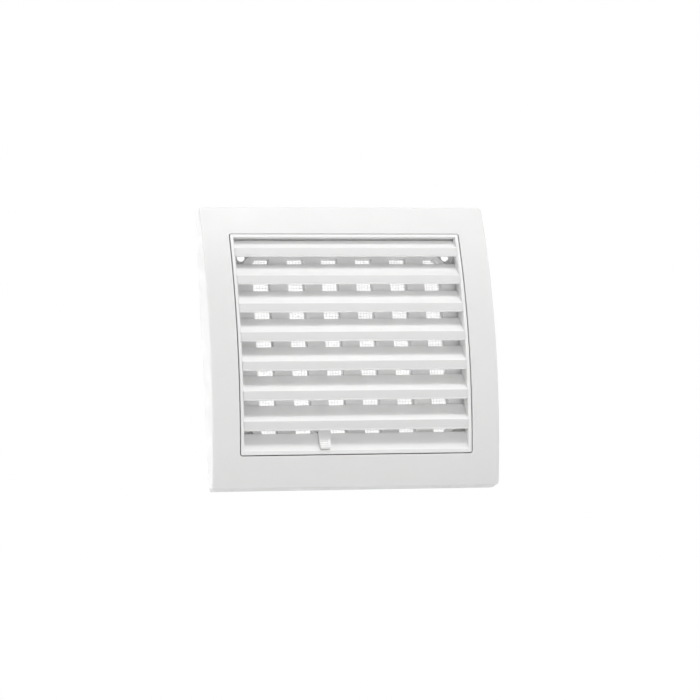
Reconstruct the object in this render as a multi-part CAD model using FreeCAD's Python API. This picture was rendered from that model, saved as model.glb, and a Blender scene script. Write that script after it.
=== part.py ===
"""Louvred wall grille with a sliding shutter, as separate moulded pieces.

Units are millimetres. X runs to the right, Z up, and the wall is the plane Y = 0 with the room on
the -Y side. Everything is drawn from the middle of the cover and then moved, so that the origin is the
middle of the four screws on the wall. Lengths measured from the wall towards the room are called
depths, so a point at depth p has Y = -p.
"""
import FreeCAD, Part
import math
import os

# Surround
width = 180.0
height = 176.0
edge_depth = 11.0  # depth of the top and bottom edges
face_bow = 14.8  # how much further out the middle of the face stands
side_wall = 2.2
face_skin = 2.4
outer_round = 0.8
outer_corner = 2.0  # corners of the surround, seen from the room
mouth_round = 0.5  # front edge of the opening for the panel
border_side = 17.6
border_top = 18.6
border_bottom = 19.4
parting_gap = 0.6  # between surround and louvre panel, at the sides and below
top_gap = 0.35  # the same above the panel
collar_wall = 1.6

# Louvre panel
panel_wall = 2.0
panel_gap = 0.6  # from the tray's hooks to the panel's rear edge
catch_room = 2.0  # from the panel's rear edge to the collar's
lip_round = 0.4
panel_corner = 1.0  # corners of the panel, seen from the room
sill_lip = 2.2
sill_rise = 11.5
sill_tip_ahead = 0.6  # from the panel's rear edge to the sill's tip
sill_curve = 20.0  # degrees that the scoop turns each way from its chord
sill_skin = 1.6

# Louvres
louvre_count = 7
top_louvre_drop = 9.2  # from the panel's top edge to the first nose
bottom_louvre_rise = 19.9  # from the panel's bottom edge to the last nose
nose_height = 5.5
nose_thickness = 2.4
slat_thickness = 1.6
louvre_gap = 0.5  # least room between a slat's rear edge and the tray's hooks
louvre_headroom = 0.5  # least room between the top slat and the panel's top wall
slat_depth = 10.0
slat_angle = 47.0  # degrees above the horizontal, rearwards
slat_fan = 0.35  # share of the face's lean that each slat follows
slat_curve = 14.0  # degrees that the slat turns each way from its chord
nose_foot_round = 0.9
nose_round = 0.4
slat_tip_round = 0.5
tenon_length = 1.3
tenon_inset = 0.35

# Base tray
tray_gap = 0.3  # between the tray and the surround
tray_plate = 1.8
tray_depth = 7.8  # depth of the plate's front face
skirt_wall = 1.8
slot_width = 10.7
bar_width = 11.06
slot_side_margin = 5.0  # least room between the window's sides and the slots
slot_edge_inset = 32.8  # from the surround's top and bottom edges to the slots
slot_field_x = 0.95  # slot field set towards the open end, to leave the shutter its travel
corner_slope = 1.0  # height over width of the diagonals that run past the screws
slot_from_screw = 8.1  # distance from a screw's axis to the diagonal across the outer slots
slot_from_left_screw = 7.5
screw_radius = 2.4
screw_head_radius = 4.4
screw_beyond_field = 5.25
screw_above_slots = 1.8
screw_seat = 1.2  # what the plate gains behind each screw hole
boss_radius = 4.0
boss_open = 0.5  # how far below the screw's axis the half boss behind the seat ends
snap_width = 8.0
snap_height = 2.2
snap_depth = 2.0  # depth of the snap windows' rear edge
snap_reach = 0.9
snap_gap = 0.2
snap_spots = (-0.5, 0.5)  # places along each side, as shares of its half length
rib_spots = (-0.8, -0.3, 0.3, 0.8)  # places along each side, as shares of its half length
rib_wall = 1.4
rib_reach = 3.8

# Shutter
shutter_plate = 1.8
shutter_gap = 0.3
shutter_overlap = 0.5  # how far the shut plate runs past the last slot
shutter_end_room = 0.5  # least room between the shut plate's end and the surround's ribs
shutter_rim = 3.2
shutter_from_screw = 4.3  # distance from a screw's axis to the shutter's diagonals
shutter_from_left_screw = 3.2
shutter_slot_from_left_screw = 6.4
shutter_past_open = 0.8  # how far past full opening the stop lets it go
hook_length = 20.0
hook_spacing = 35.0
hook_lip = 1.2
hook_wall = 1.6
hook_cover = 1.5
hook_gap = 0.4
stop_gap = 0.2
stop_wall = 1.6
stop_height = 12.0

# Thumb tab
tab_bar = 2  # the bar that carries it, counted from the left
tab_off_bar = 0.7
peg_width = 5.2
peg_height = 1.6
tab_width = 7.6
tab_tip_width = 7.5
tab_lean = 1.75  # how far the tongue's tip leans to the left
tab_thickness = 1.8
tab_gap = 0.8
tab_shoulder_rise = 1.5  # upright end of the tongue, below the arm's top
tab_shoulder_round = 1.0
tab_tip_round = 0.5
tab_tip_angle = 47.0  # degrees along the sill's scoop
tab_taper_angle = 82.0  # where the taper starts
grip_radius = 0.4
grip_count = 3
grip_right = 1.2  # from the tab's middle to the ribs' right ends
grip_first_angle = 52.0
grip_step_angle = 6.5

# Insect mesh and its retainer
mesh_pitch = 1.8
mesh_strand = 0.25
mesh_overlap = 2.0
retainer_wall = 1.6
retainer_edge = 1.0  # wall left outside the stakes' holes
retainer_past_field = 0.8  # from the slot field's half width to the ring's inner edge
retainer_past_slots = 1.0
retainer_from_screw = 4.8
retainer_diagonal_ring = 2.4
stake_radius = 0.9
stake_head_radius = 1.5
stake_head = 0.6
stake_spread = 25.0

# Panel catches and the hollows behind the sill
catch_width = 10.0
catch_spacing = 50.0
catch_reach = 1.6
catch_gap = 0.2
sill_bay_count = 6
sill_bay_rib = 1.2

fit_gap = 0.1
ON_FACE = 0.01  # how near a point counts as lying in the bowed face

# Places that follow from the sizes above
half_width = width / 2
half_height = height / 2
crown_depth = edge_depth + face_bow
face_radius = (half_height**2 + face_bow**2) / (2 * face_bow)
panel_half_width = half_width - border_side
panel_top = half_height - border_top
panel_bottom = -half_height + border_bottom
window_half_width = panel_half_width - panel_wall
window_top = panel_top - panel_wall
sill_z = panel_bottom + sill_lip
louvre_pitch = (panel_top - panel_bottom - top_louvre_drop - bottom_louvre_rise) / (louvre_count - 1)
slot_pitch = slot_width + bar_width
shut_reach = slot_pitch + shutter_overlap - slot_field_x  # the shut plate, past the slot field
shut_room = half_width - side_wall - rib_reach - shutter_end_room - shut_reach
slot_room = 2 * min(window_half_width - slot_side_margin, shut_room)
slot_count = int((slot_room + bar_width) // slot_pitch)
field_half_width = (slot_count * slot_pitch - bar_width) / 2
slot_half_height = half_height - slot_edge_inset
tray_back = tray_depth - tray_plate
tray_half_width = half_width - side_wall - tray_gap
tray_half_height = half_height - side_wall - tray_gap
screw_half_span = field_half_width + screw_beyond_field
screw_z = slot_half_height + screw_above_slots
shutter_back = tray_depth + shutter_gap
shutter_front = shutter_back + shutter_plate
shutter_x = slot_field_x + shutter_past_open
shutter_half_width = field_half_width + slot_pitch / 2 + shutter_overlap
shutter_half_height = slot_half_height + shutter_rim
shutter_travel = slot_pitch / 2 + shutter_past_open
tab_x = shutter_x - field_half_width + tab_bar * slot_pitch - bar_width / 2 + tab_off_bar
hook_front = shutter_front + shutter_gap + hook_lip
ring_half_width = field_half_width + retainer_past_field
ring_half_height = slot_half_height + retainer_past_slots
ring_wall = mesh_overlap + 2 * (stake_radius + fit_gap) + retainer_edge
mesh_back = tray_back - 2 * mesh_strand
panel_depth = hook_front + panel_gap
sill_tip_depth = panel_depth + sill_tip_ahead
collar_depth = panel_depth + catch_room
louvre_back = hook_front + louvre_gap
opening_half_width = panel_half_width + parting_gap
opening_top = panel_top + top_gap
opening_bottom = panel_bottom - parting_gap
OUTSIDE = 60.0  # depth in front of the whole part
PAST = 1.0  # how far a cut or a joining block runs past a face


def at(x, depth, z):
    """Point at a depth from the wall."""
    return FreeCAD.Vector(x, -depth, z)


def block(x_range, depth_range, z_range):
    """Rectangular block between two limits on each axis."""
    (x0, x1), (p0, p1), (z0, z1) = x_range, depth_range, z_range
    return Part.makeBox(x1 - x0, p1 - p0, z1 - z0, FreeCAD.Vector(x0, -p1, z0))


def face_depth(z):
    """Depth of the bowed face at a height."""
    return crown_depth - face_radius + math.sqrt(face_radius**2 - z**2)


def face_lean(z):
    """Degrees that the face leans back at a height, positive where it faces down."""
    return -math.degrees(math.asin(z / face_radius))


def arc(first, middle, last):
    return Part.Arc(first, middle, last).toShape()


def line(first, last):
    return Part.LineSegment(first, last).toShape()


def extruded(edges, x0, x1):
    """Solid swept along X from a closed outline drawn at X = x0."""
    return Part.Face(Part.Wire(edges)).extrude(FreeCAD.Vector(x1 - x0, 0, 0))


def outline_prism(corners, depth_range):
    """Plate parallel to the wall with a polygon outline of (x, z) corners."""
    p0, p1 = depth_range
    points = [at(x, p0, z) for x, z in corners]
    face = Part.Face(Part.makePolygon(points + points[:1]))
    return face.extrude(FreeCAD.Vector(0, p0 - p1, 0))


def along_z(corners, z_range):
    """Upright prism with a polygon section of (x, depth) corners."""
    z0, z1 = z_range
    points = [at(x, depth, z0) for x, depth in corners]
    face = Part.Face(Part.makePolygon(points + points[:1]))
    return face.extrude(FreeCAD.Vector(0, 0, z1 - z0))


def diagonal_cut(half_w, half_h, from_screw):
    """Width to cut off a corner so that the diagonal passes the screw's axis at a distance.

    Half sizes are measured from the middle of the slot field, as the screws are.
    """
    slant = math.hypot(corner_slope, 1)
    beyond = (half_w - screw_half_span) * corner_slope + (half_h - screw_z)
    return (beyond + from_screw * slant) / corner_slope


def cut_corners(centre_x, half_w, half_h, left, right):
    """Outline of a rectangle whose corners are taken off by diagonals of the given widths."""
    x0, x1, z0, z1 = centre_x - half_w, centre_x + half_w, -half_h, half_h
    rise_left, rise_right = left * corner_slope, right * corner_slope
    return [
        (x0 + left, z0), (x1 - right, z0), (x1, z0 + rise_right), (x1, z1 - rise_right),
        (x1 - right, z1), (x0 + left, z1), (x0, z1 - rise_left), (x0, z0 + rise_left),
    ]


def bowed_body(x_half, z_low, z_high, back, inset=0.0):
    """Solid between a plane parallel to the wall and the bowed face, less an inset."""
    def on_face(z):
        return at(-x_half, face_depth(z) - inset, z)

    low, high = at(-x_half, back, z_low), at(-x_half, back, z_high)
    middle = (z_low + z_high) / 2
    edges = [
        line(low, on_face(z_low)),
        arc(on_face(z_low), on_face(middle), on_face(z_high)),
        line(on_face(z_high), high),
        line(high, low),
    ]
    return extruded(edges, -x_half, x_half)


def rounded(shape, radius, chosen):
    """Fillet of every edge that the test picks."""
    edges = [edge for edge in shape.Edges if chosen(edge)]
    return shape.makeFillet(radius, edges)


def round_corners(body, radius):
    """Fillet of a body's edges square to the wall."""
    def square_to_wall(edge):
        first, last = (vertex.Point for vertex in (edge.Vertexes[0], edge.Vertexes[-1]))
        across = math.hypot(first.x - last.x, first.z - last.z)
        return across < ON_FACE < abs(first.y - last.y)

    return rounded(body, radius, square_to_wall)


def cylinder(x, z, radius, depth_range):
    p0, p1 = depth_range
    return Part.makeCylinder(radius, p1 - p0, at(x, p0, z), FreeCAD.Vector(0, -1, 0))


def edge_is_near(edge, spots, tolerance=0.05):
    """True for an edge along X that passes one of the (depth, z) spots."""
    centre = edge.CenterOfMass
    return any(
        math.hypot(-centre.y - depth, centre.z - z) < tolerance for depth, z in spots
    )


def edge_on_face(edge, half_w):
    """True for an edge that lies in the bowed face, no further out than a half width."""
    middle = edge.valueAt((edge.FirstParameter + edge.LastParameter) / 2)
    spots = [vertex.Point for vertex in edge.Vertexes] + [middle]
    return all(
        abs(-spot.y - face_depth(spot.z)) < ON_FACE and abs(spot.x) < half_w + ON_FACE
        for spot in spots
    )


class Scoop:
    """Concave strip: an arc that climbs rearwards from a front point.

    chord_angle is the climb of its chord and curve the turn each way from it, both in degrees.
    Angles along the strip run from `front_angle` to `back_angle`, and an offset is measured
    away from the arc's centre, into the material.
    """

    def __init__(self, front, run, chord_angle, curve):
        chord = run / math.cos(math.radians(chord_angle))
        self.radius = chord / (2 * math.sin(math.radians(curve)))
        self.front_angle = chord_angle - curve
        self.back_angle = chord_angle + curve
        turn = math.radians(self.front_angle)
        self.centre = (
            front[0] + self.radius * math.sin(turn),
            front[1] + self.radius * math.cos(turn),
        )

    def spot(self, angle, offset=0.0):
        """(depth, z) of a point of the strip."""
        reach = self.radius + offset
        turn = math.radians(angle)
        return (self.centre[0] - reach * math.sin(turn), self.centre[1] - reach * math.cos(turn))

    def point(self, x, angle, offset=0.0):
        return at(x, *self.spot(angle, offset))

    def angle_at(self, z, offset):
        """Angle at which the strip passes a height."""
        return math.degrees(math.acos((self.centre[1] - z) / (self.radius + offset)))

    def curve_edge(self, x, first, last, offset=0.0):
        middle = (first + last) / 2
        points = [self.point(x, angle, offset) for angle in (first, middle, last)]
        return arc(*points)

    def band(self, x0, x1, first, last, offsets):
        """Solid strip between two angles and two offsets."""
        inner, outer = offsets
        edges = [
            self.curve_edge(x0, first, last, inner),
            line(self.point(x0, last, inner), self.point(x0, last, outer)),
            self.curve_edge(x0, last, first, outer),
            line(self.point(x0, first, outer), self.point(x0, first, inner)),
        ]
        return extruded(edges, x0, x1)


def sill_scoop():
    front = (face_depth(sill_z), sill_z)
    run = front[0] - sill_tip_depth
    return Scoop(front, run, math.degrees(math.atan2(sill_rise, run)), sill_curve)


def louvre_nose_z(index):
    return panel_top - top_louvre_drop - index * louvre_pitch


def louvre_scoop(index):
    z = louvre_nose_z(index)
    front = (face_depth(z), z)
    run = min(slat_depth, front[0] - louvre_back)
    return Scoop(front, run, slat_angle + slat_fan * face_lean(z), slat_curve)


def tenon(scoop, x0, x1, clearance):
    """The middle of a slat's section, thinned all round."""
    spread = slat_curve / 2 + math.degrees(clearance / scoop.radius)
    middle = (scoop.front_angle + scoop.back_angle) / 2
    offsets = (tenon_inset - clearance, slat_thickness - tenon_inset + clearance)
    return scoop.band(x0, x1, middle - spread, middle + spread, offsets)


def louvre(index):
    """One fixed blade: a slat that falls towards the room and ends in an upright nose."""
    scoop = louvre_scoop(index)
    nose_z = louvre_nose_z(index)
    foot_z = nose_z - nose_height
    x = window_half_width
    slat = scoop.band(-x, x, scoop.front_angle, scoop.back_angle, (0, slat_thickness))
    root_angle = scoop.front_angle + math.degrees(nose_thickness / scoop.radius)
    foot = (face_depth(foot_z), foot_z)
    heel = (foot[0] - nose_thickness, foot_z)
    corners = [scoop.spot(scoop.front_angle), foot, heel, scoop.spot(root_angle, slat_thickness / 2)]
    points = [at(-x, *corner) for corner in corners]
    nose = extruded([line(a, b) for a, b in zip(points, points[1:] + points[:1])], -x, x)
    blade = slat.fuse(nose).removeSplitter()
    blade = rounded(blade, nose_foot_round, lambda edge: edge_is_near(edge, [foot]))
    ends = [heel, scoop.spot(scoop.front_angle)]
    blade = rounded(blade, nose_round, lambda edge: edge_is_near(edge, ends))
    tips = [scoop.spot(scoop.back_angle, offset) for offset in (0, slat_thickness)]
    blade = rounded(blade, slat_tip_round, lambda edge: edge_is_near(edge, tips))
    above = block((-half_width, half_width), (0, OUTSIDE), (window_top - louvre_headroom, half_height))
    blade = blade.cut(above)
    for x0, x1 in ((-x - tenon_length, -x), (x, x + tenon_length)):
        blade = blade.fuse(tenon(scoop, x0, x1, 0))
    return blade.removeSplitter()


def surround_frame():
    """Bowed cover with side walls and a collar round the panel's opening."""
    outer = round_corners(bowed_body(half_width, -half_height, half_height, 0), outer_corner)
    outer = rounded(outer, outer_round, lambda edge: edge_on_face(edge, half_width))
    inner_half = half_width - side_wall
    inner_top = half_height - side_wall
    hollow = bowed_body(inner_half, -inner_top, inner_top, -PAST, face_skin)
    collar = block(
        (-opening_half_width - collar_wall, opening_half_width + collar_wall),
        (collar_depth, OUTSIDE),
        (opening_bottom - collar_wall, opening_top + collar_wall),
    )
    opening = block(
        (-opening_half_width, opening_half_width), (-PAST, OUTSIDE), (opening_bottom, opening_top)
    )
    opening = round_corners(opening, panel_corner + parting_gap)
    shell = outer.cut(hollow).fuse(collar.common(outer)).cut(opening).removeSplitter()
    shell = rounded(shell, mouth_round, lambda edge: edge_on_face(edge, opening_half_width))
    shell = shell.fuse([rib.common(outer) for rib in surround_ribs()])
    nub_depths = (snap_depth + snap_gap, snap_depth + snap_height - snap_gap)
    nubs = skirt_snaps(nub_depths, snap_gap, (tray_gap - snap_reach, tray_gap + side_wall / 2))
    return shell.fuse(nubs).removeSplitter()


def surround_ribs():
    """Ribs inside the surround that stand on the tray's plate."""
    inner_x, inner_z = half_width - side_wall, half_height - side_wall
    depths = (tray_depth, crown_depth)
    made = []
    for share in rib_spots:
        x = share * inner_x
        x_range = (x - rib_wall / 2, x + rib_wall / 2)
        made.append(block(x_range, depths, (inner_z - rib_reach, inner_z + PAST)))
        made.append(block(x_range, depths, (-inner_z - PAST, -inner_z + rib_reach)))
        z = share * inner_z
        z_range = (z - rib_wall / 2, z + rib_wall / 2)
        made.append(block((inner_x - rib_reach, inner_x + PAST), depths, z_range))
        made.append(block((-inner_x - PAST, -inner_x + rib_reach), depths, z_range))
    return made


def louvre_panel():
    """Inner panel: lip, side cheeks with louvre pockets, and the scooped sill."""
    body = bowed_body(panel_half_width, panel_bottom, panel_top, panel_depth)
    body = round_corners(body, panel_corner)
    scoop = sill_scoop()
    x = window_half_width
    tip = scoop.spot(scoop.back_angle)
    front = scoop.spot(scoop.front_angle)
    behind = panel_depth - PAST
    corners = [
        at(-x, *tip), at(-x, behind, tip[1]), at(-x, behind, window_top),
        at(-x, OUTSIDE, window_top), at(-x, OUTSIDE, front[1]), at(-x, *front),
    ]
    edges = [line(a, b) for a, b in zip(corners, corners[1:])]
    edges.append(scoop.curve_edge(-x, scoop.front_angle, scoop.back_angle))
    body = body.cut(extruded(edges, -x, x))
    body = rounded(body, lip_round, lambda edge: edge_on_face(edge, panel_half_width))
    for index in range(louvre_count):
        slat = louvre_scoop(index)
        reach = tenon_length + fit_gap
        for x0, x1 in ((-x - reach, -x + PAST), (x - PAST, x + reach)):
            body = body.cut(tenon(slat, x0, x1, fit_gap))
    body = body.cut(sill_bays()).fuse(panel_catches())
    return body.removeSplitter()


def sill_bays():
    """Hollows behind the sill, which keep its walls even."""
    scoop = sill_scoop()
    depth, z = scoop.centre
    keep = Part.makeCylinder(
        scoop.radius + sill_skin, 2 * width, at(-width, depth, z), FreeCAD.Vector(1, 0, 0)
    )
    bay_pitch = (2 * window_half_width + sill_bay_rib) / sill_bay_count
    depths = (panel_depth - PAST, face_depth(sill_z) - sill_lip)
    heights = (panel_bottom + sill_skin, scoop.spot(scoop.back_angle)[1])
    made = []
    for index in range(sill_bay_count):
        x0 = -window_half_width + index * bay_pitch
        made.append(block((x0, x0 + bay_pitch - sill_bay_rib), depths, heights).cut(keep))
    return made


def panel_catches():
    """Barbs on the panel's cheeks that catch behind the surround's collar."""
    root = window_half_width + tenon_length + fit_gap
    tip = panel_half_width + catch_reach
    front = collar_depth - catch_gap
    made = []
    for side in (-1, 1):
        section = [
            (side * root, panel_depth), (side * panel_half_width, panel_depth),
            (side * tip, front - catch_gap), (side * tip, front), (side * root, front),
        ]
        for z in (-catch_spacing / 2, catch_spacing / 2):
            made.append(along_z(section, (z - catch_width / 2, z + catch_width / 2)))
    return made


def slotted(plate, centre_x, depth_range, from_left_screw):
    """The plate with the upright air slots cut through it, past the screws at the corners."""
    left = diagonal_cut(field_half_width, slot_half_height, from_left_screw)
    right = diagonal_cut(field_half_width, slot_half_height, slot_from_screw)
    outline = cut_corners(centre_x, field_half_width, slot_half_height, left, right)
    field = outline_prism(outline, depth_range)
    for index in range(slot_count - 1):
        x0 = centre_x - field_half_width + slot_width + index * slot_pitch
        field = field.cut(block((x0, x0 + bar_width), depth_range, (-half_height, half_height)))
    return plate.cut(field)


def screw_places():
    xs = (slot_field_x - screw_half_span, slot_field_x + screw_half_span)
    return [(x, side * screw_z) for x in xs for side in (-1, 1)]


def screw_bosses():
    """A seat behind each screw hole, and half a boss from it to the wall, open away from the sill."""
    made = []
    for x, z in screw_places():
        outwards = math.copysign(1, z)
        made.append(cylinder(x, z, boss_radius, (tray_back - screw_seat, tray_back)))
        open_side = sorted((z - outwards * boss_open, z + outwards * 2 * boss_radius))
        opening = block((x - 2 * boss_radius, x + 2 * boss_radius), (-PAST, tray_back), open_side)
        made.append(cylinder(x, z, boss_radius, (0, tray_back)).cut(opening))
    return made


def skirt_snaps(depth_range, width_trim, reach_range):
    """Blocks on the four sides of the skirt, for its snap windows or the nubs that fill them."""
    made = []
    half_span = snap_width / 2 - width_trim
    near, far = reach_range
    for share in snap_spots:
        for side in (-1, 1):
            x_range = sorted((side * (tray_half_width + near), side * (tray_half_width + far)))
            z = share * tray_half_height
            made.append(block(x_range, depth_range, (z - half_span, z + half_span)))
            z_range = sorted((side * (tray_half_height + near), side * (tray_half_height + far)))
            x = share * tray_half_width
            made.append(block((x - half_span, x + half_span), depth_range, z_range))
    return made


def stake_places():
    """Where the retainer's stakes stand, outside the mesh."""
    off_ring = mesh_overlap + fit_gap + stake_radius
    x, z = ring_half_width + off_ring, ring_half_height + off_ring
    sides = [(side * x, up * stake_spread) for side in (-1, 1) for up in (-1, 1)]
    ends = [(side * stake_spread, up * z) for side in (-1, 1) for up in (-1, 1)]
    return [(slot_field_x + across, up) for across, up in sides + ends]


def shutter_hooks():
    """Hooks above and below the shutter, which hold it to the tray."""
    reach = shutter_half_height + hook_gap
    made = []
    for x in (-hook_spacing, 0, hook_spacing):
        for side in (-1, 1):
            x_range = (x - hook_length / 2, x + hook_length / 2)
            web = sorted((side * reach, side * (reach + hook_wall)))
            lip = sorted((side * (shutter_half_height - hook_cover), side * (reach + hook_wall)))
            made.append(block(x_range, (tray_depth, hook_front), web))
            made.append(block(x_range, (hook_front - hook_lip, hook_front), lip))
    return made


def shutter_stops():
    """Lugs that end the shutter's travel on each side."""
    open_end = shutter_x + shutter_half_width + stop_gap
    shut_end = shutter_x - shutter_half_width - shutter_travel - stop_gap
    x_ranges = ((open_end, open_end + stop_wall), (shut_end - stop_wall, shut_end))
    z_range = (-stop_height / 2, stop_height / 2)
    return [block(x_range, (tray_depth, shutter_front), z_range) for x_range in x_ranges]


def stakes():
    """Stakes with rolled heads on the back of the tray, which clamp the mesh retainer."""
    head_top = mesh_back - retainer_wall - fit_gap
    made = []
    for x, z in stake_places():
        made.append(cylinder(x, z, stake_radius, (head_top - stake_head, tray_back)))
        made.append(cylinder(x, z, stake_head_radius, (head_top - stake_head, head_top)))
    return made


def base_tray():
    """Fixed tray on the wall: slotted plate, skirt, screw bosses, shutter hooks and stops."""
    tray = block(
        (-tray_half_width, tray_half_width), (0, tray_depth), (-tray_half_height, tray_half_height)
    )
    cover_gap = face_skin + tray_gap
    cover = bowed_body(tray_half_width, -tray_half_height, tray_half_height, 0, cover_gap)
    tray = tray.common(cover)
    inner_x, inner_z = tray_half_width - skirt_wall, tray_half_height - skirt_wall
    tray = tray.cut(block((-inner_x, inner_x), (-PAST, tray_back), (-inner_z, inner_z)))
    through = (tray_back - PAST, tray_depth + PAST)
    tray = slotted(tray, slot_field_x, through, slot_from_left_screw)
    windows = skirt_snaps((snap_depth, snap_depth + snap_height), 0, (-skirt_wall - PAST, PAST))
    tray = tray.cut(windows)
    tray = tray.fuse(screw_bosses() + stakes() + shutter_hooks() + shutter_stops())
    for x, z in screw_places():
        tray = tray.cut(cylinder(x, z, screw_radius, (-PAST, tray_depth + PAST)))
        top = at(x, tray_back, z)
        outwards = FreeCAD.Vector(0, -1, 0)
        tray = tray.cut(Part.makeCone(screw_radius, screw_head_radius, tray_plate, top, outwards))
    return tray.removeSplitter()


def peg_block(clearance, depth_range):
    """The thumb tab's peg, or with a clearance its hole in the shutter."""
    half_w, half_h = peg_width / 2 + clearance, peg_height / 2 + clearance
    z = tab_arm_z()
    return block((tab_x - half_w, tab_x + half_w), depth_range, (z - half_h, z + half_h))


def tab_arm_z():
    """Height of the middle of the tab's arm, which passes over the sill's tip."""
    scoop = sill_scoop()
    return scoop.spot(scoop.back_angle)[1] + tab_gap + tab_thickness / 2 + fit_gap


def shutter():
    """Sliding slotted plate, drawn open against its stop."""
    left_half, right_half = shutter_half_width - shutter_past_open, shutter_half_width + shutter_past_open
    left = diagonal_cut(left_half, shutter_half_height, shutter_from_left_screw)
    right = diagonal_cut(right_half, shutter_half_height, shutter_from_screw)
    outline = cut_corners(shutter_x, shutter_half_width, shutter_half_height, left, right)
    plate = outline_prism(outline, (shutter_back, shutter_front))
    through = (shutter_back - PAST, shutter_front + PAST)
    plate = slotted(plate, shutter_x, through, shutter_slot_from_left_screw)
    return plate.cut(peg_block(fit_gap, through)).removeSplitter()


def tab_section(x):
    """Outline of the tab at X = x: an arm over the sill's tip, and a tongue down the scoop."""
    scoop = sill_scoop()
    front, back = -tab_gap - tab_thickness, -tab_gap
    arm_top, arm_foot = tab_arm_z() + tab_thickness / 2, tab_arm_z() - tab_thickness / 2
    foot_angle = scoop.angle_at(arm_foot, back)
    neck_angle = scoop.angle_at(arm_top - tab_shoulder_rise, front)
    shoulder = (scoop.spot(neck_angle, front)[0], arm_top)
    tip = [scoop.point(x, tab_tip_angle, offset) for offset in (front, back)]
    arm = [
        scoop.point(x, neck_angle, front), at(x, *shoulder), at(x, shutter_front, arm_top),
        at(x, shutter_front, arm_foot), scoop.point(x, foot_angle, back),
    ]
    edges = [line(a, b) for a, b in zip(arm, arm[1:])]
    edges.insert(0, scoop.curve_edge(x, tab_tip_angle, neck_angle, front))
    edges.append(scoop.curve_edge(x, foot_angle, tab_tip_angle, back))
    edges.append(line(tip[1], tip[0]))
    return edges, shoulder


def tab_tongue():
    """Prism that leaves the tongue leaning to the left and narrowing to its tip."""
    scoop = sill_scoop()
    taper_z, tip_z = scoop.spot(tab_taper_angle)[1], scoop.spot(tab_tip_angle)[1]
    wide, narrow = tab_width / 2, tab_tip_width / 2
    tip_x = tab_x - tab_lean
    rise, drop = taper_z - tip_z, tab_width
    reach = drop / rise
    left, right = tip_x - narrow, tip_x + narrow
    low_left = left + reach * (left - (tab_x - wide))
    low_right = right + reach * (right - (tab_x + wide))
    corners = [
        (tab_x - wide, taper_z), (tab_x - wide, OUTSIDE), (tab_x + wide, OUTSIDE),
        (tab_x + wide, taper_z), (low_right, tip_z - drop), (low_left, tip_z - drop),
    ]
    return outline_prism(corners, (0, OUTSIDE))


def thumb_tab():
    """Finger tab with grip ribs, pegged into the shutter."""
    scoop = sill_scoop()
    front, back = -tab_gap - tab_thickness, -tab_gap
    x0, x1 = tab_x - tab_width / 2, tab_x + tab_width / 2
    edges, shoulder = tab_section(x0)
    tab = extruded(edges, x0, x1)
    tab = rounded(tab, tab_shoulder_round, lambda edge: edge_is_near(edge, [shoulder]))
    tips = [scoop.spot(tab_tip_angle, offset) for offset in (front, back)]
    tab = rounded(tab, tab_tip_round, lambda edge: edge_is_near(edge, tips))
    for index in range(grip_count):
        depth, z = scoop.spot(grip_first_angle + index * grip_step_angle, front)
        along = FreeCAD.Vector(1, 0, 0)
        length = tab_x + grip_right - x0
        tab = tab.fuse(Part.makeCylinder(grip_radius, length, at(x0, depth, z), along))
    tab = tab.common(tab_tongue())
    return tab.fuse(peg_block(0, (shutter_back, shutter_front))).removeSplitter()


def ring_cuts():
    """Corner cuts of the retainer's inner and outer outlines."""
    inner = retainer_from_screw + retainer_diagonal_ring
    return (
        diagonal_cut(ring_half_width, ring_half_height, inner),
        diagonal_cut(ring_half_width + ring_wall, ring_half_height + ring_wall, retainer_from_screw),
    )


def mesh_retainer():
    """Eight-sided ring that clamps the insect mesh to the back of the tray."""
    inner_cut, outer_cut = ring_cuts()
    outer_w, outer_h = ring_half_width + ring_wall, ring_half_height + ring_wall
    depths = (mesh_back - retainer_wall, mesh_back)
    ring = outline_prism(cut_corners(slot_field_x, outer_w, outer_h, outer_cut, outer_cut), depths)
    inside = cut_corners(slot_field_x, ring_half_width, ring_half_height, inner_cut, inner_cut)
    ring = ring.cut(outline_prism(inside, (0, OUTSIDE)))
    holes = [cylinder(x, z, stake_radius + fit_gap, (0, OUTSIDE)) for x, z in stake_places()]
    return ring.cut(holes)


def strand_reach(place, half_across, half_along, cut_across, slope):
    """Half length of a mesh strand at a place across the mesh, shorter past its cut corners."""
    past = abs(place) - (half_across - cut_across)
    return half_along - max(past, 0) * slope


def insect_mesh():
    """Crossed strands, the upright ones against the tray and the level ones behind them."""
    half_w, half_h = ring_half_width + mesh_overlap, ring_half_height + mesh_overlap
    from_screw = retainer_from_screw + retainer_diagonal_ring / 2
    cut = diagonal_cut(half_w, half_h, from_screw)
    layer = tray_back - mesh_strand
    strands = []
    columns = int(half_w // mesh_pitch)
    for index in range(-columns, columns + 1):
        across = index * mesh_pitch
        reach = strand_reach(across, half_w, half_h, cut, corner_slope)
        x = slot_field_x + across
        x_range = (x - mesh_strand / 2, x + mesh_strand / 2)
        strands.append(block(x_range, (layer, tray_back), (-reach, reach)))
    rows = int(half_h // mesh_pitch)
    for index in range(-rows, rows + 1):
        z = index * mesh_pitch
        reach = strand_reach(z, half_h, half_w, cut * corner_slope, 1 / corner_slope)
        z_range = (z - mesh_strand / 2, z + mesh_strand / 2)
        x_range = (slot_field_x - reach, slot_field_x + reach)
        strands.append(block(x_range, (mesh_back, layer), z_range))
    return Part.Compound(strands)


node_makers = {
    "surround_frame": surround_frame,
    "louvre_panel": louvre_panel,
    "base_tray": base_tray,
    "mesh_retainer": mesh_retainer,
    "insect_mesh": insect_mesh,
    "shutter": shutter,
    "thumb_tab": thumb_tab,
}


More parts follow.
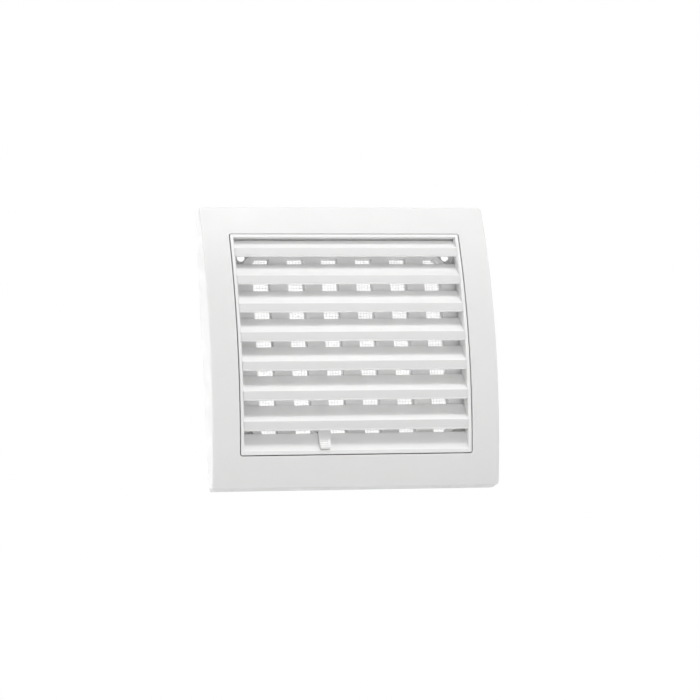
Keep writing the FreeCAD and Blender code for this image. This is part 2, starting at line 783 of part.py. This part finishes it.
def main():
    os.makedirs("parts", exist_ok=True)
    nodes = {name: make() for name, make in node_makers.items()}
    for index in range(louvre_count):
        nodes[f"louvre_{index + 1}"] = louvre(index)
    for name, shape in nodes.items():
        shape.translate(FreeCAD.Vector(-slot_field_x, 0, 0))
        print(name, len(shape.Solids), shape.isValid(), round(shape.Volume, 1))
        shape.exportStep(f"parts/{name}.step")


main()
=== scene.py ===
"""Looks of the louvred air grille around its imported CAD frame: materials, soft light, floor and camera."""

import bpy
from mathutils import Matrix, Vector

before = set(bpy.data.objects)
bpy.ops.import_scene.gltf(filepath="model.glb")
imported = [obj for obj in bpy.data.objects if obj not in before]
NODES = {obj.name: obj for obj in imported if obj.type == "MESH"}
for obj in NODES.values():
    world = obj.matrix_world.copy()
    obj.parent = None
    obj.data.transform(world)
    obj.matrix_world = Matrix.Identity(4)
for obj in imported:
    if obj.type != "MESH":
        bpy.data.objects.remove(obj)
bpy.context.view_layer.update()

MM = 0.001
PURE_WHITE = (1.0, 1.0, 1.0, 1.0)

# Surface of the moulded plastic: noise scales in cycles per metre, colour shares and bump heights
MOTTLE_SCALE = 28.0
FLOW_SCALE = 90.0
SPECK_SCALE = 900.0
GRAIN_SCALE = 2600.0
MOTTLE_TINT = (0.988, 0.988, 0.988)
SPECK_TINT = (0.96, 0.957, 0.945)
SPECK_SHARE = 0.12
FLOW_HEIGHT = 0.02 * MM
FLOW_STRENGTH = 0.25
GRAIN_HEIGHT = 0.01 * MM
SEED_STEP = (0.37, 0.11, 0.23)  # where each piece's noise is taken from, so that no two are alike
GLOSS_SWING = (-0.04, 0.05)  # how far the roughness wanders
UPRIGHT_SWING = (0.04, 0.14)  # the same on upright faces that are duller than the slopes
SCATTER_SHARE = 0.6
SCATTER_DEPTH = 1.5 * MM
SCATTER_RADIUS = (1.0, 1.0, 0.95)

# Stage and light
FLOOR_Z = -0.62  # well below the grille, which is seen from under its own level
FLOOR_HALF = 6.0
FLOOR_TONES = ((0.80, 0.80, 0.80, 1.0), (0.83, 0.83, 0.83, 1.0))
FLOOR_GLOW = 0.08  # what the camera sees on top of the floor's own light
AMBIENT = 0.3745
AIM = Vector((0, -0.012, 0))
LAMPS = {
    # name: (place, width, height, power)
    "key": ((0.076, -0.868, 1.342), 0.45, 0.45, 10.82),
    "right_key": ((0.927, -0.927, 0.918), 0.45, 0.45, 3.77),
    "low_front": ((0.0, -1.41, -0.513), 0.9, 0.7, 5.74),
    "left_front": ((-1.5, -0.45, 0.1), 1.0, 1.2, 4.70),
    "left_back": ((-1.5, 0.35, 0.1), 1.0, 1.2, 5.20),
    "back": ((0.0, 1.5, 0.3), 1.2, 1.2, 9.5),
}

# Camera: below and to the left of the grille, a long lens
RIGHT = Vector((0.9723, -0.2267, -0.0566))
UP = Vector((0.0070, -0.2139, 0.9768))
FORWARD = Vector((0.2336, 0.9502, 0.2064))
CAMERA_PLACE = Vector((-0.50192, -2.05124, -0.44578))
FOCAL_PX = 3487.9
IMAGE_PX = 700
SENSOR = 36.0
CLIP_RANGE = (0.1, 50.0)


class Nodes:
    """Short way to build the node tree of a material or a world."""

    def __init__(self, owner):
        owner.use_nodes = True
        self.tree = owner.node_tree
        self.tree.nodes.clear()

    def add(self, kind, inputs=None, **settings):
        node = self.tree.nodes.new(kind)
        for name, value in settings.items():
            setattr(node, name, value)
        for name, value in (inputs or {}).items():
            self.put(node.inputs[name], value)
        return node

    def put(self, socket, value):
        """Links a socket to another one, or sets its value."""
        if isinstance(value, bpy.types.NodeSocket):
            self.tree.links.new(value, socket)
        else:
            socket.default_value = value

    def math(self, operation, *values):
        node = self.add("ShaderNodeMath", dict(enumerate(values)), operation=operation)
        return node.outputs["Value"]

    def object_place(self):
        return self.add("ShaderNodeTexCoord").outputs["Object"]

    def noise(self, vector, scale, detail=2.0, roughness=0.5):
        inputs = {"Vector": vector, "Scale": scale, "Detail": detail, "Roughness": roughness}
        return self.add("ShaderNodeTexNoise", inputs).outputs["Fac"]

    def spread(self, value, low, high):
        """Stretches the middle of a noise to low..high."""
        inputs = {"Value": value, "From Min": 0.3, "From Max": 0.7, "To Min": low, "To Max": high}
        return self.add("ShaderNodeMapRange", inputs).outputs["Result"]

    def blend(self, factor, first, second, data_type="FLOAT"):
        node = self.add("ShaderNodeMix", {"Factor": factor, "A": first, "B": second}, data_type=data_type)
        return node.outputs["Result"]

    def mix(self, factor, first, second):
        return self.blend(factor, first, second, "RGBA")

    def slope(self):
        """0 on faces that stand upright, 1 on those that slope or lie flat."""
        normal = self.add("ShaderNodeNewGeometry").outputs["Normal"]
        rise = self.add("ShaderNodeSeparateXYZ", {"Vector": normal}).outputs["Z"]
        inputs = {"Value": self.math("ABSOLUTE", rise), "From Min": 0.25, "From Max": 0.5}
        return self.add("ShaderNodeMapRange", inputs, interpolation_type="SMOOTHSTEP").outputs["Result"]

    def bump(self, height, distance, strength, normal=None):
        inputs = {"Height": height, "Distance": distance, "Strength": strength}
        if normal is not None:
            inputs["Normal"] = normal
        return self.add("ShaderNodeBump", inputs).outputs["Normal"]

    def finish(self, shader, kind="ShaderNodeOutputMaterial"):
        self.add(kind, {"Surface": shader})


def rgba(colour, tint=(1.0, 1.0, 1.0)):
    return tuple(part * share for part, share in zip(colour, tint)) + (1.0,)


def white_plastic(name, colour, rough, grain, seed, upright=None, gleam=0.5, clear=0.0):
    """Satin white moulded plastic: faint mottling, flow waviness and a fine spark-eroded grain.

    A piece given an upright colour gets a lighter tone on its slopes as painted light and a darker tone on its upright
    faces as painted shade, for how light from above falls; its slopes are also glossier than its upright faces. A
    clear piece lets light through.
    """
    material = bpy.data.materials.new(name)
    n = Nodes(material)
    shift = tuple(seed * step for step in SEED_STEP)
    place = n.add("ShaderNodeMapping", {"Vector": n.object_place(), "Location": shift}).outputs["Vector"]
    mottle = n.spread(n.noise(place, MOTTLE_SCALE, 3.0), 0.0, 1.0)
    flow = n.noise(place, FLOW_SCALE)
    fine = n.noise(place, GRAIN_SCALE, 2.0, 0.6)
    speck = n.spread(n.noise(place, SPECK_SCALE, 1.0), 0.0, SPECK_SHARE)

    def mottled(base):
        return n.mix(mottle, rgba(base, MOTTLE_TINT), rgba(base))

    def gloss_over(swing):
        return n.spread(flow, rough + swing[0], rough + swing[1])

    tone = n.mix(speck, mottled(colour), rgba(colour, SPECK_TINT))
    gloss = gloss_over(GLOSS_SWING)
    if upright is not None:
        # Upright faces take the darker upright colour as painted shade; the slopes keep the lighter colour as painted
        # light.
        slope = n.slope()
        tone = n.mix(slope, mottled(upright), tone)
        gloss = n.blend(slope, gloss_over(UPRIGHT_SWING), gloss)
    inputs = {
        "Base Color": tone,
        "Roughness": gloss,
        "Normal": n.bump(fine, GRAIN_HEIGHT, grain, n.bump(flow, FLOW_HEIGHT, FLOW_STRENGTH)),
        "IOR": 1.5,
        "Specular IOR Level": gleam,
        "Transmission Weight": clear,
        "Subsurface Weight": SCATTER_SHARE,
        "Subsurface Radius": SCATTER_RADIUS,
        "Subsurface Scale": SCATTER_DEPTH,
    }
    n.finish(n.add("ShaderNodeBsdfPrincipled", inputs).outputs["BSDF"])
    return material


def dress(node, material):
    """Gives a CAD node a material in every slot it has."""
    data = NODES[node].data
    if not data.materials:
        data.materials.append(material)
    for index in range(len(data.materials)):
        data.materials[index] = material


# Materials of the pieces
WHITE = (0.85, 0.85, 0.847)
# Surround: its colour is set darker than the other white pieces, as painted shade on the frame's front faces.
dress("surround_frame", white_plastic("surround_plastic_painted_shade", (0.79, 0.79, 0.787), 0.42, 0.35, 1))
dress("louvre_panel", white_plastic("panel_plastic", WHITE, 0.40, 0.30, 2))
# Louvres: slopes painted lighter (0.92) as painted light and upright noses painted darker (0.752) as painted shade.
louvre_plastic_painted_shade = white_plastic(
    "louvre_plastic_painted_shade", (0.92, 0.92, 0.917), 0.38, 0.20, 3, upright=(0.752, 0.752, 0.749), gleam=0.35
)
for index in range(1, 8):
    dress(f"louvre_{index}", louvre_plastic_painted_shade)
dress("base_tray", white_plastic("tray_plastic", WHITE, 0.46, 0.40, 4))
dress("shutter", white_plastic("shutter_plastic", (0.91, 0.91, 0.907), 0.44, 0.30, 5))
dress("thumb_tab", white_plastic("tab_plastic", WHITE, 0.36, 0.20, 6))
dress("mesh_retainer", white_plastic("retainer_plastic", WHITE, 0.46, 0.40, 7))
dress("insect_mesh", white_plastic("mesh_plastic", (0.93, 0.93, 0.925), 0.5, 0.20, 8, clear=0.6))

# Floor: pale paint, with a little glow that only the camera sees
corners = [(x * FLOOR_HALF, y * FLOOR_HALF, FLOOR_Z) for x, y in ((-1, -1), (1, -1), (1, 1), (-1, 1))]
floor_mesh = bpy.data.meshes.new("floor")
floor_mesh.from_pydata(corners, [], [(0, 1, 2, 3)])
floor = bpy.data.objects.new("floor", floor_mesh)
bpy.context.scene.collection.objects.link(floor)
floor_paint = bpy.data.materials.new("floor_paint")
n = Nodes(floor_paint)
patches = n.spread(n.noise(n.object_place(), 6.0, 4.0), 0.0, 1.0)
paint = n.add("ShaderNodeBsdfPrincipled", {"Base Color": n.mix(patches, *FLOOR_TONES), "Roughness": 0.8})
strength = n.math("MULTIPLY", n.add("ShaderNodeLightPath").outputs["Is Camera Ray"], FLOOR_GLOW)
glow = n.add("ShaderNodeEmission", {"Color": PURE_WHITE, "Strength": strength})
lifted = n.add("ShaderNodeAddShader", {0: paint.outputs["BSDF"], 1: glow.outputs["Emission"]})
n.finish(lifted.outputs["Shader"])
floor.data.materials.append(floor_paint)

# World: soft ambient light, and plain white where the camera, a reflection or a clear piece sees it
world = bpy.data.worlds.new("studio")
bpy.context.scene.world = world
n = Nodes(world)
rays = n.add("ShaderNodeLightPath").outputs
shown = n.math("MAXIMUM", n.math("MAXIMUM", rays["Is Camera Ray"], rays["Is Glossy Ray"]), rays["Is Transmission Ray"])
lit, seen = (
    n.add("ShaderNodeBackground", {"Color": PURE_WHITE, "Strength": level}).outputs["Background"]
    for level in (AMBIENT, 1.0)
)
n.finish(n.add("ShaderNodeMixShader", {0: shown, 1: lit, 2: seen}).outputs["Shader"], "ShaderNodeOutputWorld")

# Lamps, all turned to the grille
for name, (place, width, height, power) in LAMPS.items():
    lamp = bpy.data.lights.new(name, "AREA")
    lamp.shape = "RECTANGLE"
    lamp.size = width
    lamp.size_y = height
    lamp.energy = power
    holder = bpy.data.objects.new(name, lamp)
    holder.location = place
    holder.rotation_euler = (AIM - Vector(place)).to_track_quat("-Z", "Y").to_euler()
    holder.visible_camera = False
    bpy.context.scene.collection.objects.link(holder)

# Camera
camera = bpy.data.cameras.new("camera")
camera.sensor_width = SENSOR
camera.lens = FOCAL_PX / IMAGE_PX * SENSOR
camera.clip_start, camera.clip_end = CLIP_RANGE
viewer = bpy.data.objects.new("camera", camera)
viewer.matrix_world = Matrix.Translation(CAMERA_PLACE) @ Matrix((RIGHT, UP, -FORWARD)).transposed().to_4x4()
bpy.context.scene.collection.objects.link(viewer)
bpy.context.scene.camera = viewer

bpy.context.scene.view_settings.view_transform = "Standard"
